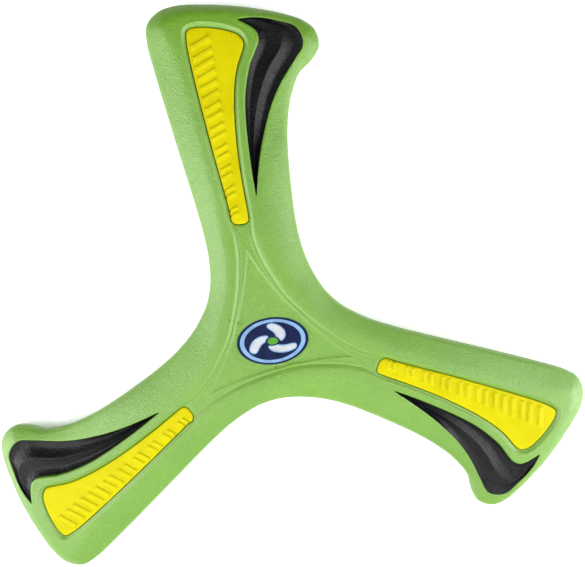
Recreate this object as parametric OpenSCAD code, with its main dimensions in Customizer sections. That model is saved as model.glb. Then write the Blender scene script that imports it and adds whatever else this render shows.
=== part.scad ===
// Three-bladed foam boomerang, lying on its flat underside.
// Blade 1 points along +Y, and blades 2 and 3 are the same blade turned by 120 and 240 degrees.
// The origin is on the hub's axis, at the underside.

/* [Body] */
// Thickness of the foam body, from the flat underside to the flat top
body_t = 14.5; // [12:0.5:20]
// Height of the widest outline, where the upper and the lower edge roundings meet
edge_z = 7; // [6:0.5:8]
// How far the flat underside lies inside the widest outline
foot_inset = 3.6; // [2:0.2:4]
// Size of the blade outline, as a fraction of the standard 303 mm sweep
plan_scale = 1; // [0.9:0.01:1.1]

/* [Hub panel] */
// Depth of the sunk panel that runs from the hub round the three inlay plates
panel_depth = 1; // [0.6:0.1:1.5]
// Further depth of the curved triangle in the middle of the hub
triangle_depth = 0.4; // [0.2:0.1:0.8]

/* [Inlay plates] */
// Thickness of an inlay plate, without its raised bars
plate_t = 3; // [2:0.5:4]
// How far an inlay plate stands above the floor of the sunk panel
plate_proud = 0.5; // [0.2:0.1:0.8]
// Height of the raised bars on an inlay plate
bar_h = 0.5; // [0.2:0.1:0.6]
// Number of raised pairs of bars along an inlay plate
bar_pairs = 9; // [6:1:11]

/* [Scoop inserts] */
// Thickness of foam left under a scoop insert
scoop_floor = 7; // [5.5:0.5:8]
// Depth of the inner flute below the flat top
inner_flute = 3.2; // [2:0.2:4]
// Depth of the crest between the flutes below the flat top
crest_drop = 1.8; // [1:0.2:2.4]
// Depth of the outer flute below the flat top
outer_flute = 4.0; // [3:0.2:5]

/* [Hub emblem] */
// Length of the oval emblem film
emblem_l = 33; // [24:1:34]
// Width of the oval emblem film
emblem_w = 22; // [16:1:23]
// Thickness of the emblem film
emblem_t = 0.3; // [0.2:0.1:0.4]
// Tilt of the oval, anticlockwise, in degrees
emblem_tilt = 8; // [0:1:15]

/* [Hidden] */
blades = 3;
blade_angle = 360 / blades;
panel_z = body_t - panel_depth;
triangle_z = panel_z - triangle_depth;
plate_top = panel_z + plate_proud;
above = 1;               // how far a cutter reaches past the surface that it opens
outline_steps = 3;       // points for each span of the body outline
line_steps = 4;          // points for each span of the other curves

// One blade of the body outline, anticlockwise from the gap on its right to the gap on its left:
// x, y, width of the upper slope, and how round that slope is, from 0, a bevel, to 1, a quarter ellipse.
blade_outline = [
    [24.7, 20.8, 8, 0.2], [18.3, 31.1, 12, 0.4], [14.0, 42.3, 14, 0.6], [11.4, 54.0, 14.5, 0.6],
    [9.6, 68.0, 13.5, 0.5], [8.2, 83.5, 13, 0.3], [8.1, 96.0, 13.9, 0.2], [9.6, 107.6, 13, 0.2],
    [13.4, 117.8, 10.5, 0.3], [18.5, 123.0, 8.5, 0.4], [21.9, 129.0, 7, 0.5], [20.4, 135.6, 7.2, 0.6],
    [15.3, 139.8, 7.2, 0.7], [6.5, 142.6, 6.3, 0.8], [-5.1, 144.6, 6.2, 0.8], [-17.1, 145.8, 6.2, 0.8],
    [-29.0, 146.2, 6.8, 0.8], [-40.0, 145.8, 7.8, 0.7], [-48.5, 143.2, 8, 0.5],
    [-54.0, 137.1, 7.8, 0.3], [-54.0, 129.5, 9.5, 0.2], [-51.0, 117.5, 12, 0.1],
    [-42.6, 88.0, 11.5, 0.1], [-34.6, 61.0, 10, 0.1], [-31.1, 48.3, 9, 0.1], [-28.6, 36.6, 8, 0.1],
    [-27.7, 24.5, 8, 0.2], [-28.5, 17.6, 8, 0.2]];

// One blade of the sunk panel's outline, in the same order
blade_panel = [
    [14.2, 11.9], [8.0, 17.9], [1.2, 27.5], [-4.3, 37.6], [-7.1, 45.9], [-7.9, 54.5], [-10.9, 71.5],
    [-12.8, 87.2], [-13.6, 102.0], [-13.3, 111.8], [-12.1, 118.5], [-10.0, 124.7], [-9.3, 128.7],
    [-11.9, 133.0], [-19.2, 135.7], [-25.6, 136.6], [-32.1, 136.5], [-36.5, 134.5], [-37.3, 130.8],
    [-36.9, 126.1], [-32.6, 106.5], [-26.7, 82.8], [-21.7, 64.2], [-18.9, 52.7], [-16.1, 45.4],
    [-14.8, 37.4], [-14.6, 27.7], [-15.4, 17.9]];

// One side of the curved triangle, from the point in blade 1 round the hub to the point in blade 2
triangle_side = [
    [-10.3, 38.7], [-10.8, 32.0], [-12.0, 22.0], [-14.0, 11.0], [-15.7, 4.7], [-17.6, -3.4],
    [-22.2, -15.4], [-26.3, -24.4], [-28.4, -28.3]];

// Outline of an inlay plate, clockwise from its narrow inner end
plate_outline = [
    [-15.3, 50.5], [-17.1, 52.1], [-17.5, 54.6], [-20.1, 64.7], [-25.1, 83.2], [-31.0, 106.9],
    [-35.0, 124.9], [-35.6, 129.8], [-35.2, 133.6], [-31.8, 134.9], [-25.7, 134.9], [-19.6, 134.1],
    [-13.4, 132.0], [-11.0, 129.1], [-11.1, 127.0], [-12.0, 124.0], [-13.7, 119.0], [-14.9, 112.0],
    [-15.3, 102.0], [-14.5, 87.1], [-12.5, 71.3], [-9.6, 54.6], [-9.4, 52.4], [-10.2, 51.2]];

// A scoop insert from its upper point to its lower point: inner edge, crest and outer edge, matched by place
scoop_upper_tip = [-13.4, 138.2];
scoop_lower_tip = [-5.8, 63.2];
scoop_inner = [
    [-10.6, 137.1], [-7.4, 135.4], [-4.8, 132.9], [-4.2, 129.5], [-5.5, 125.6], [-7.8, 120.2],
    [-9.2, 114.0], [-10.2, 105.4], [-10.0, 96.0], [-9.0, 85.2], [-7.5, 73.9]];
scoop_crest = [
    [-6.8, 138.4], [-0.3, 137.4], [4.4, 134.6], [5.5, 129.3], [3.5, 124.4], [0.2, 119.1],
    [-2.3, 113.4], [-4.6, 105.4], [-6.2, 96.0], [-6.8, 85.1], [-6.5, 73.7]];
scoop_outer = [
    [-4.3, 139.3], [3.3, 138.4], [11.3, 136.2], [14.8, 129.1], [11.5, 123.2], [7.9, 117.7],
    [4.8, 112.5], [1.6, 105.5], [-1.3, 96.0], [-3.6, 85.0], [-5.1, 73.2]];

// Two ends of the row of raised bars on an inlay plate. A bar's length and width, and its distance from the
// middle of its pair, grow from the inner to the outer end of the row.
bar_row = [[-15.7, 55.8], [-29.1, 126.0]];
bar_length = [3.4, 8.6];
bar_width = [1.1, 2.0];
bar_spread = [1.3, 2.5];
bar_slant = 0.35;        // lean of a bar, as a fraction of its length

// Centre of the emblem, and the number of points round it
emblem_place = [1.2, -3];
emblem_points = 96;

// A point of the smooth curve through b and c, with a and d before and after, at s from 0 to 1.
// Only x and y set the spacing; any further numbers in a knot are carried along.
function gap(a, b) = sqrt(norm([b.x - a.x, b.y - a.y]));
function between(a, b, from, to, t) = (a * (to - t) + b * (t - from)) / (to - from);
function curve_point(a, b, c, d, s) =
    let (tb = gap(a, b), tc = tb + gap(b, c), td = tc + gap(c, d), t = tb + (tc - tb) * s)
    let (ab = between(a, b, 0, tb, t), bc = between(b, c, tb, tc, t), cd = between(c, d, tc, td, t))
    between(between(ab, bc, 0, tc, t), between(bc, cd, tb, td, t), tb, tc, t);

function closed_curve(k, steps) = let (n = len(k))
    [for (i = [0 : n - 1]) for (j = [0 : steps - 1])
        curve_point(k[(i + n - 1) % n], k[i], k[(i + 1) % n], k[(i + 2) % n], j / steps)];

function open_curve(k, steps) = let (n = len(k), p = concat([2 * k[0] - k[1]], k, [2 * k[n - 1] - k[n - 2]]))
    concat([for (i = [0 : n - 2]) for (j = [0 : steps - 1])
        curve_point(p[i], p[i + 1], p[i + 2], p[i + 3], j / steps)], [k[n - 1]]);

// A knot turned about the hub axis, with its further numbers kept
function turned(p, a) = [for (i = [0 : len(p) - 1])
    i == 0 ? p.x * cos(a) - p.y * sin(a) : i == 1 ? p.x * sin(a) + p.y * cos(a) : p[i]];
function all_blades(k) = [for (b = [0 : blades - 1]) for (p = k) turned(p, b * blade_angle)];
function flat_points(k) = [for (p = k) plan_scale * [p.x, p.y]];

// Height of the upper slope, as a fraction of its rise, at a fraction u of its width
nose_u = 0.12;
nose_rise = 0.3;
function arc_rise(u) = sqrt(1 - pow(1 - min(u, 1), 2));
function slope_rise(u, roundness) =
    (1 - roundness) * (nose_rise * arc_rise(u / nose_u) + (1 - nose_rise) * u) + roundness * arc_rise(u);

// Places of the rings on the upper slope and on the lower rounding. The last ring rises above the flat top,
// which is then cut level.
upper_steps = [0.03, 0.12, 0.35, 0.65, 0.96];
crown_step = 1.05;
crown_rise = 0.6;
lower_angles = [90, 45];
blank_r = 200;           // radius of the cutter that levels the top

body_curve = closed_curve(all_blades(blade_outline), outline_steps);
body_n = len(body_curve);
function inward(i) =
    let (a = body_curve[(i + body_n - 1) % body_n], b = body_curve[(i + 1) % body_n])
    [a.y - b.y, b.x - a.x] / norm([a.y - b.y, b.x - a.x]);
function body_point(i, inset, z) = let (p = body_curve[i], n = inward(i))
    [plan_scale * (p.x + n.x * inset), plan_scale * (p.y + n.y * inset), z];

body_rings = concat(
    [for (a = lower_angles) [for (i = [0 : body_n - 1])
        body_point(i, foot_inset * (1 - cos(a)), edge_z * (1 - sin(a)))]],
    [[for (i = [0 : body_n - 1]) body_point(i, 0, edge_z)]],
    [for (u = upper_steps) [for (i = [0 : body_n - 1])
        body_point(i, u * body_curve[i][2], edge_z + (body_t - edge_z) * slope_rise(u, body_curve[i][3]))]],
    [[for (i = [0 : body_n - 1]) body_point(i, crown_step * body_curve[i][2], body_t + crown_rise)]]);

// A solid through rings of equal length, each above the one before; both ends are flat
module ringed_solid(rings) {
    n = len(rings[0]);
    last = (len(rings) - 1) * n;
    sides = [for (r = [0 : len(rings) - 2]) for (i = [0 : n - 1]) let (j = (i + 1) % n)
        each [[r * n + i, (r + 1) * n + i, (r + 1) * n + j], [r * n + i, (r + 1) * n + j, r * n + j]]];
    polyhedron(points = [for (ring = rings) each ring],
        faces = concat(sides, cap_faces(0, n, true), cap_faces(last, n, false)));
}

// Triangles for the flat end of the body: each blade is a strip between its two sides, and one
// triangle closes the hub.
function cap_faces(first, n, below) =
    let (m = n / blades, gaps = [for (b = [0 : blades - 1]) first + b * m])
    let (strips = [for (b = [0 : blades - 1]) for (k = [0 : floor(m / 2) - 1])
        let (right = b * m + k, left = b * m + m - k)
        let (r0 = first + right % n, r1 = first + (right + 1) % n)
        let (l0 = first + left % n, l1 = first + (left - 1) % n)
        each (r1 == l1 ? [[r0, l0, r1]] : [[r0, l0, r1], [r1, l0, l1]])])
    let (all = concat([gaps], [for (f = strips) [f[0], f[2], f[1]]]))
    below ? all : [for (f = all) [f[0], f[2], f[1]]];

module outline_prism(points, low, high) {
    translate([0, 0, low])
        linear_extrude(height = high - low)
            polygon(flat_points(points));
}

module blade_turn(k) {
    rotate([0, 0, (k - 1) * blade_angle]) children();
}

panel_curve = closed_curve(all_blades(blade_panel), line_steps);
triangle_curve = let (side = open_curve(triangle_side, line_steps))
    [for (b = [0 : blades - 1]) for (i = [0 : len(side) - 2]) turned(side[i], b * blade_angle)];
plate_curve = closed_curve(plate_outline, line_steps);

// Edges of a scoop insert, each from the upper to the lower point
function scoop_edge(k) = open_curve(concat([scoop_upper_tip], k, [scoop_lower_tip]), line_steps);
inner_edge = scoop_edge(scoop_inner);
crest_edge = scoop_edge(scoop_crest);
outer_edge = scoop_edge(scoop_outer);
scoop_n = len(inner_edge);
scoop_curve = concat(inner_edge, [for (i = [scoop_n - 2 : -1 : 1]) outer_edge[i]]);

// How much of its full depth a scoop has at station i: nothing at the points, all along the middle
function scoop_fullness(i) = let (s = i / (scoop_n - 1)) pow(sin(180 * s), 0.5);

inner_edge_drop = 1.4;
outer_edge_drop = 2.8;
tip_drop = 0.9;
inner_valley = 0.42;
outer_valley = 0.6;
function scoop_z(i, drop) = body_t - tip_drop - (drop - tip_drop) * scoop_fullness(i);
function raised(p, z) = [plan_scale * p.x, plan_scale * p.y, z];
function scoop_section(i) = let (a = inner_edge[i], c = crest_edge[i], b = outer_edge[i]) [
    raised(a, scoop_floor), raised(a, scoop_z(i, inner_edge_drop)),
    raised(a + (c - a) * inner_valley, scoop_z(i, inner_flute)), raised(c, scoop_z(i, crest_drop)),
    raised(c + (b - c) * outer_valley, scoop_z(i, outer_flute)), raised(b, scoop_z(i, outer_edge_drop)),
    raised(b, scoop_floor)];

module foam_body() {
    color("#8fc656")
        difference() {
            ringed_solid(body_rings);
            translate([0, 0, body_t]) cylinder(r = blank_r, h = above + crown_rise);
            outline_prism(panel_curve, panel_z, body_t + above);
            outline_prism(triangle_curve, triangle_z, body_t + above);
            for (k = [1 : blades]) blade_turn(k) {
                outline_prism(plate_curve, plate_top - plate_t, body_t + above);
                outline_prism(scoop_curve, scoop_floor, body_t + above);
            }
        }
}

// Value at a fraction s of the way along a range
function part_way(range, s) = range[0] + (range[1] - range[0]) * s;

// One raised bar of a pair: s is the pair's place along the row, and side is -1 or 1
module raised_bar(s, side) {
    along = (bar_row[1] - bar_row[0]) / norm(bar_row[1] - bar_row[0]);
    across = [along.y, -along.x];
    middle = part_way(bar_row, s) + along * side * part_way(bar_spread, s);
    reach = (across + along * bar_slant) * part_way(bar_length, s) / 2;
    half = along * part_way(bar_width, s) / 2;
    corners = [-reach - half, -reach + half, reach + half, reach - half];
    outline_prism([for (c = corners) middle + c], plate_top, plate_top + bar_h);
}

module inlay_plate(k) {
    color("#d8cc10")
        blade_turn(k)
            union() {
                outline_prism(plate_curve, plate_top - plate_t, plate_top);
                for (i = [0 : bar_pairs - 1]) for (side = [-1, 1])
                    raised_bar(i / (bar_pairs - 1), side);
            }
}

module scoop_insert(k) {
    m = len(scoop_section(1));
    points = concat([raised(scoop_upper_tip, scoop_floor), raised(scoop_upper_tip, body_t - tip_drop)],
        [for (i = [1 : scoop_n - 2]) each scoop_section(i)],
        [raised(scoop_lower_tip, scoop_floor), raised(scoop_lower_tip, body_t - tip_drop)]);
    end = len(points) - 2;
    first = 2;
    final = end - m;
    body = [for (i = [0 : scoop_n - 4]) for (j = [0 : m - 1])
        let (p = first + i * m, q = p + m, h = (j + 1) % m)
        each [[p + j, q + j, q + h], [p + j, q + h, p + h]]];
    start_cap = concat([for (j = [1 : m - 3]) [1, first + j, first + j + 1]],
        [[0, first, first + 1], [0, first + 1, 1], [0, 1, first + m - 2], [0, first + m - 2, first + m - 1],
         [0, first + m - 1, first]]);
    end_cap = concat([for (j = [1 : m - 3]) [end + 1, final + j + 1, final + j]],
        [[end, final + 1, final], [end, end + 1, final + 1], [end, final + m - 2, end + 1],
         [end, final + m - 1, final + m - 2], [end, final, final + m - 1]]);
    color("#26282b")
        blade_turn(k)
            polyhedron(points = points, faces = concat(body, start_cap, end_cap));
}

module hub_emblem() {
    color("#1d2f63")
        outline_prism([for (i = [0 : emblem_points - 1]) let (a = i * 360 / emblem_points)
            turned([emblem_l / 2 * cos(a), emblem_w / 2 * sin(a)], emblem_tilt) + emblem_place],
            triangle_z, triangle_z + emblem_t);
}

foam_body();
inlay_plate(1);  // inlay_plate_1
inlay_plate(2);  // inlay_plate_2
inlay_plate(3);  // inlay_plate_3
scoop_insert(1);  // scoop_insert_1
scoop_insert(2);  // scoop_insert_2
scoop_insert(3);  // scoop_insert_3
hub_emblem();
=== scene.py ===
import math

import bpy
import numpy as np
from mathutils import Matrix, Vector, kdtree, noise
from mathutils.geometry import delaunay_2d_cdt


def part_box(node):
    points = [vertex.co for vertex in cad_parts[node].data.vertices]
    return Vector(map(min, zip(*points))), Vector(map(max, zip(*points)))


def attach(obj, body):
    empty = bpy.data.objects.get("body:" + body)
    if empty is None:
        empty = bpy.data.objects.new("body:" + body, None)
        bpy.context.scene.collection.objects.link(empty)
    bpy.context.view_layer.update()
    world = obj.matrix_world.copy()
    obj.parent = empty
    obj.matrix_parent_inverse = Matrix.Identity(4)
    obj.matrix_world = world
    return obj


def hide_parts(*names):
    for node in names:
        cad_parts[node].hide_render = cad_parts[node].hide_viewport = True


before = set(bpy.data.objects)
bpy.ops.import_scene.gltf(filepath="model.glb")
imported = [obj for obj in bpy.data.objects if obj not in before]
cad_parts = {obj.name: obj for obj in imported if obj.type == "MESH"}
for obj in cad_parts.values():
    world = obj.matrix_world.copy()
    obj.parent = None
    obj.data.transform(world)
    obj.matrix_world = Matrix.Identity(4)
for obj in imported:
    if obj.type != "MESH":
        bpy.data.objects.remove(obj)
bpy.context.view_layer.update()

# A three-bladed foam boomerang: a skinned foam body, inlay plates, scooped tip inserts and a hub emblem.
# Shapes are worked out in millimetres in the part's own frame, and become metres when they are made into
# objects. Blade 1 points along +Y, and a curve for one blade is turned by 120 and 240 degrees to make the
# other two.

MM = 0.001
BLADES = 3
BLADE_ANGLE = 2 * math.pi / BLADES

# ---------------------------------------------------------------- heights, from the frame
BODY_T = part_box("foam_body")[1].z / MM
PLATE_TOP = BODY_T - 0.5
PLATE_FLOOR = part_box("inlay_plate_1")[0].z / MM
SCOOP_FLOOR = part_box("scoop_insert_1")[0].z / MM
TRIANGLE_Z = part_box("hub_emblem")[0].z / MM
EDGE_Z = 7.0
RISE = BODY_T - EDGE_Z
FOOT_INSET = 3.6
PANEL_DEPTH = 1.0
TRIANGLE_DEPTH = BODY_T - PANEL_DEPTH - TRIANGLE_Z

# ---------------------------------------------------------------- outlines
# One blade of the body outline, anticlockwise from the gap on its right to the gap on its left:
# x, y, width of the upper slope, and how round that slope is, from 0, a flat bevel, to 1, a quarter ellipse.
BLADE_OUTLINE = [
    (24.7, 20.8, 8, 0.2), (18.3, 31.1, 12, 0.4), (14.0, 42.3, 14, 0.6), (11.4, 54.0, 14.5, 0.6),
    (9.6, 68.0, 13.5, 0.5), (8.2, 83.5, 13, 0.3), (8.1, 96.0, 13.9, 0.2), (9.6, 107.6, 13, 0.2),
    (13.4, 117.8, 10.5, 0.3), (18.5, 123.0, 8.5, 0.4), (21.9, 129.0, 7, 0.5), (20.4, 135.6, 7.2, 0.6),
    (15.3, 139.8, 7.2, 0.7), (6.5, 142.6, 6.3, 0.8), (-5.1, 144.6, 6.2, 0.8), (-17.1, 145.8, 6.2, 0.8),
    (-29.0, 146.2, 6.8, 0.8), (-40.0, 145.8, 7.8, 0.7), (-48.5, 143.2, 8, 0.5),
    (-54.0, 137.1, 7.8, 0.3), (-54.0, 129.5, 9.5, 0.2), (-51.0, 117.5, 12, 0.1),
    (-42.6, 88.0, 11.5, 0.1), (-34.6, 61.0, 10, 0.1), (-31.1, 48.3, 9, 0.1), (-28.6, 36.6, 8, 0.1),
    (-27.7, 24.5, 8, 0.2), (-28.5, 17.6, 8, 0.2)]

# One blade of the sunk panel's outline, in the same order
BLADE_PANEL = [
    (14.2, 11.9), (8.0, 17.9), (1.2, 27.5), (-4.3, 37.6), (-7.1, 45.9), (-7.9, 54.5), (-10.9, 71.5),
    (-12.8, 87.2), (-13.6, 102.0), (-13.3, 111.8), (-12.1, 118.5), (-10.0, 124.7), (-9.3, 128.7),
    (-11.9, 133.0), (-19.2, 135.7), (-25.6, 136.6), (-32.1, 136.5), (-36.5, 134.5), (-37.3, 130.8),
    (-36.9, 126.1), (-32.6, 106.5), (-26.7, 82.8), (-21.7, 64.2), (-18.9, 52.7), (-16.1, 45.4),
    (-14.8, 37.4), (-14.6, 27.7), (-15.4, 17.9)]

# One side of the curved triangle, from the point in blade 1 round the hub to the point in blade 2
TRIANGLE_SIDE = [
    (-10.3, 38.7), (-10.8, 32.0), (-12.0, 22.0), (-14.0, 11.0), (-15.7, 4.7), (-17.6, -3.4),
    (-22.2, -15.4), (-26.3, -24.4), (-28.4, -28.3)]

# Outline of an inlay plate, clockwise from its narrow inner end
PLATE_OUTLINE = [
    (-15.3, 50.5), (-17.1, 52.1), (-17.5, 54.6), (-20.1, 64.7), (-25.1, 83.2), (-31.0, 106.9),
    (-35.0, 124.9), (-35.6, 129.8), (-35.2, 133.6), (-31.8, 134.9), (-25.7, 134.9), (-19.6, 134.1),
    (-13.4, 132.0), (-11.0, 129.1), (-11.1, 127.0), (-12.0, 124.0), (-13.7, 119.0), (-14.9, 112.0),
    (-15.3, 102.0), (-14.5, 87.1), (-12.5, 71.3), (-9.6, 54.6), (-9.4, 52.4), (-10.2, 51.2)]

# A scoop insert from its upper point to its lower point: inner edge, crest and outer edge, matched by place
SCOOP_UPPER_TIP = (-13.4, 138.2)
SCOOP_LOWER_TIP = (-5.8, 63.2)
SCOOP_INNER = [
    (-10.6, 137.1), (-7.4, 135.4), (-4.8, 132.9), (-4.2, 129.5), (-5.5, 125.6), (-7.8, 120.2),
    (-9.2, 114.0), (-10.2, 105.4), (-10.0, 96.0), (-9.0, 85.2), (-7.5, 73.9)]
SCOOP_CREST = [
    (-6.8, 138.4), (-0.3, 137.4), (4.4, 134.6), (5.5, 129.3), (3.5, 124.4), (0.2, 119.1),
    (-2.3, 113.4), (-4.6, 105.4), (-6.2, 96.0), (-6.8, 85.1), (-6.5, 73.7)]
SCOOP_OUTER = [
    (-4.3, 139.3), (3.3, 138.4), (11.3, 136.2), (14.8, 129.1), (11.5, 123.2), (7.9, 117.7),
    (4.8, 112.5), (1.6, 105.5), (-1.3, 96.0), (-3.6, 85.0), (-5.1, 73.2)]

# The row of raised bars on an inlay plate: its two ends, and at each end a bar's length, its width and its
# distance from the middle of its pair. The slant is a share of the length.
BAR_ROW = np.array([(-15.7, 55.8), (-29.1, 126.0)])
BAR_LENGTH = np.array([3.4, 8.6])
BAR_WIDTH = np.array([1.1, 2.0])
BAR_SPREAD = np.array([1.3, 2.5])
BAR_SLANT = 0.35
BAR_PAIRS = 9
BAR_H = 0.5

# The oval emblem: its centre, its half length and half width, and its tilt
EMBLEM_CENTRE = (1.2, -3.0)
EMBLEM_SIZE = np.array([16.5, 11.0])
EMBLEM_TILT = math.radians(8)


# ---------------------------------------------------------------- curves
def between(a, b, start, end, t):
    return (a * (end - t) + b * (t - start)) / (end - start)


def curve_span(a, b, c, d, steps):
    """Points of the smooth curve from b up to c, with a before and d after. Any further numbers go along."""
    tb = math.sqrt(np.linalg.norm((b - a)[:2]))
    tc = tb + math.sqrt(np.linalg.norm((c - b)[:2]))
    td = tc + math.sqrt(np.linalg.norm((d - c)[:2]))
    t = (tb + (tc - tb) * np.arange(steps) / steps)[:, None]
    ab, bc, cd = between(a, b, 0, tb, t), between(b, c, tb, tc, t), between(c, d, tc, td, t)
    return between(between(ab, bc, 0, tc, t), between(bc, cd, tb, td, t), tb, tc, t)


def closed_curve(knots, steps):
    k = np.array(knots, float)
    n = len(k)
    return np.vstack([curve_span(k[i - 1], k[i], k[(i + 1) % n], k[(i + 2) % n], steps) for i in range(n)])


def open_curve(knots, steps):
    k = np.array(knots, float)
    p = np.vstack([2 * k[0] - k[1], k, 2 * k[-1] - k[-2]])
    spans = [curve_span(p[i], p[i + 1], p[i + 2], p[i + 3], steps) for i in range(len(k) - 1)]
    return np.vstack(spans + [k[-1:]])


def turned(points, angle):
    """Points turned about the hub axis, with any further numbers kept."""
    out = np.array(points, float)
    x, y = out[:, 0].copy(), out[:, 1].copy()
    out[:, 0] = x * math.cos(angle) - y * math.sin(angle)
    out[:, 1] = x * math.sin(angle) + y * math.cos(angle)
    return out


def all_blades(points):
    return np.vstack([turned(points, b * BLADE_ANGLE) for b in range(BLADES)])


def even_spacing(points, spacing, closed=True):
    """The same line with points at an even spacing along it."""
    p = np.vstack([points, points[:1]]) if closed else np.array(points)
    along = np.r_[0, np.cumsum(np.linalg.norm(np.diff(p[:, :2], axis=0), axis=1))]
    n = max(3, round(along[-1] / spacing))
    at = np.linspace(0, along[-1], n + 1)
    even = np.column_stack([np.interp(at, along, p[:, k]) for k in range(p.shape[1])])
    return even[:-1] if closed else even


def is_inside(points, polygon):
    """For each point, whether it lies inside a closed polygon."""
    x, y = points[:, 0][:, None], points[:, 1][:, None]
    ax, ay = polygon[:, 0], polygon[:, 1]
    bx, by = np.roll(ax, -1), np.roll(ay, -1)
    rise = np.where(by == ay, 1e-12, by - ay)
    crosses = ((ay > y) != (by > y)) & (x < (bx - ax) * (y - ay) / rise + ax)
    return crosses.sum(1) % 2 == 1


def area_of(polygon):
    x, y = polygon[:, 0], polygon[:, 1]
    return 0.5 * float(np.sum(x * np.roll(y, -1) - np.roll(x, -1) * y))


class Line:
    """A closed line that points can be measured from, inside positive."""

    def __init__(self, points, spacing=0.3):
        self.points = even_spacing(points, spacing)
        if area_of(self.points) < 0:
            self.points = self.points[::-1].copy()
        self.tree = kdtree.KDTree(len(self.points))
        for i, p in enumerate(self.points):
            self.tree.insert((p[0], p[1], 0), i)
        self.tree.balance()

    def nearest(self, points):
        """Distance of each point from the line, and the line's own numbers at the nearest place."""
        n = len(self.points)
        found = np.array([self.tree.find((p[0], p[1], 0))[1] for p in points])
        best, numbers = np.full(len(points), 1e9), np.zeros((len(points), self.points.shape[1]))
        for first in (found - 1, found):
            a, b = self.points[first % n], self.points[(first + 1) % n]
            ab = b[:, :2] - a[:, :2]
            s = np.clip(((points[:, :2] - a[:, :2]) * ab).sum(1) / (ab ** 2).sum(1), 0, 1)[:, None]
            q = a + (b - a) * s
            d = np.linalg.norm(points[:, :2] - q[:, :2], axis=1)
            closer = d < best
            best[closer], numbers[closer] = d[closer], q[closer]
        return best, numbers

    def depth(self, points):
        """Distance inside the line, negative outside."""
        d, _ = self.nearest(points)
        return np.where(is_inside(points, self.points), d, -d)

    def offset(self, inset, spacing):
        """A loop that runs at a distance inside the line, or outside where inset is negative."""
        p = even_spacing(self.points, spacing)
        ahead = np.roll(p, -1, 0)[:, :2] - np.roll(p, 1, 0)[:, :2]
        inward = np.column_stack([-ahead[:, 1], ahead[:, 0]]) / np.linalg.norm(ahead, axis=1)[:, None]
        width = inset(p) if callable(inset) else inset
        out = p[:, :2] + inward * (width[:, None] if np.ndim(width) else width)
        true_distance, _ = self.nearest(out)
        return out[np.abs(true_distance - np.abs(width)) < 0.04]


STEPS = 16
OUTLINE = Line(closed_curve(all_blades(BLADE_OUTLINE), STEPS))
PANEL = Line(closed_curve(all_blades(BLADE_PANEL), STEPS))
TRIANGLE = Line(all_blades(open_curve(TRIANGLE_SIDE, STEPS)[:-1]))
PLATE = Line(closed_curve(PLATE_OUTLINE, STEPS), 0.2)


def scoop_edge(knots):
    return open_curve([SCOOP_UPPER_TIP, *knots, SCOOP_LOWER_TIP], STEPS)


INNER_EDGE = scoop_edge(SCOOP_INNER)
CREST = scoop_edge(SCOOP_CREST)
OUTER_EDGE = scoop_edge(SCOOP_OUTER)
SCOOP_EDGES = [all_blades(edge) for edge in (INNER_EDGE, OUTER_EDGE)]
SCOOP_WIDTHS = np.linalg.norm(SCOOP_EDGES[1] - SCOOP_EDGES[0], axis=1)
SCOOP = Line(np.vstack([INNER_EDGE, OUTER_EDGE[-2:0:-1]]), 0.2)


# ---------------------------------------------------------------- height of the foam's upper surface
def smooth_step(x, low, high):
    t = np.clip((np.asarray(x, float) - low) / (high - low), 0, 1)
    return t * t * (3 - 2 * t)


# A bevelled slope starts with a small round nose, whose width and rise are shares of the slope's own, and
# ends in a round shoulder
NOSE_U, NOSE_RISE = 0.12, 0.3
SHOULDER = 0.12


def quarter_ellipse(u):
    return np.sqrt(1 - (1 - np.clip(u, 0, 1)) ** 2)


def slope_rise(u, roundness):
    """Share of the slope's height at a share u of its width, from a bevel to a quarter ellipse."""
    bevel = NOSE_RISE * quarter_ellipse(u / NOSE_U) + (1 - NOSE_RISE) * u
    near = np.clip(0.5 + 0.5 * (1 - bevel) / SHOULDER, 0, 1)
    bevel = bevel * near + (1 - near) - SHOULDER * near * (1 - near)
    return (1 - roundness) * bevel + roundness * quarter_ellipse(u)


def from_scoop(points):
    """Distance of each point from the scoops' inner and outer edges, and how wide the scoop is there."""
    found = []
    for edge in SCOOP_EDGES:
        tree = kdtree.KDTree(len(edge))
        for i, p in enumerate(edge):
            tree.insert((p[0], p[1], 0), i)
        tree.balance()
        found.append([tree.find((p[0], p[1], 0))[1:] for p in points])
    to_inner, to_outer = (np.array([d for _, d in f]) for f in found)
    return to_inner, to_outer, SCOOP_WIDTHS[[i for i, _ in found[1]]]


# Beyond a scoop's inner edge the blade is thinner: how much, and where it starts and ends between the edges
SHELF_DROP = 2.6
SHELF_FROM, SHELF_TO = 0.50, 0.70
# Width of the scoop at which the drop is complete
SHELF_WIDTH = 15.0


def scoop_side(points):
    """0 on the inner edge's side of a scoop, 1 on its outer edge's side, fading out towards its points."""
    a, b, width = from_scoop(points)
    side = smooth_step(a / np.maximum(a + b, 1e-6), SHELF_FROM, SHELF_TO)
    return side * smooth_step(width, 0, SHELF_WIDTH)


def sharp_height(points):
    d, numbers = OUTLINE.nearest(points)
    share = slope_rise(d / numbers[:, 2], numbers[:, 3])
    return EDGE_Z + (RISE - SHELF_DROP * scoop_side(points)) * share


# Reach over which the creases of the slopes are rounded off, and the distances from the outline between
# which that reach grows from nothing
EASE = 1.8
EASE_FROM, EASE_TO = 0.8, 3.5


def body_height(points):
    """The moulding's upper surface before its panel, pockets and grooves are sunk into it."""
    d, _ = OUTLINE.nearest(points)
    reach = EASE * smooth_step(d, EASE_FROM, EASE_TO)[:, None]
    xy = np.asarray(points)[:, :2]
    ring = [xy + reach * np.array([math.cos(a), math.sin(a)]) for a in np.arange(6) * math.pi / 3]
    return (sharp_height(xy) + sum(sharp_height(p) for p in ring)) / 7


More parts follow.
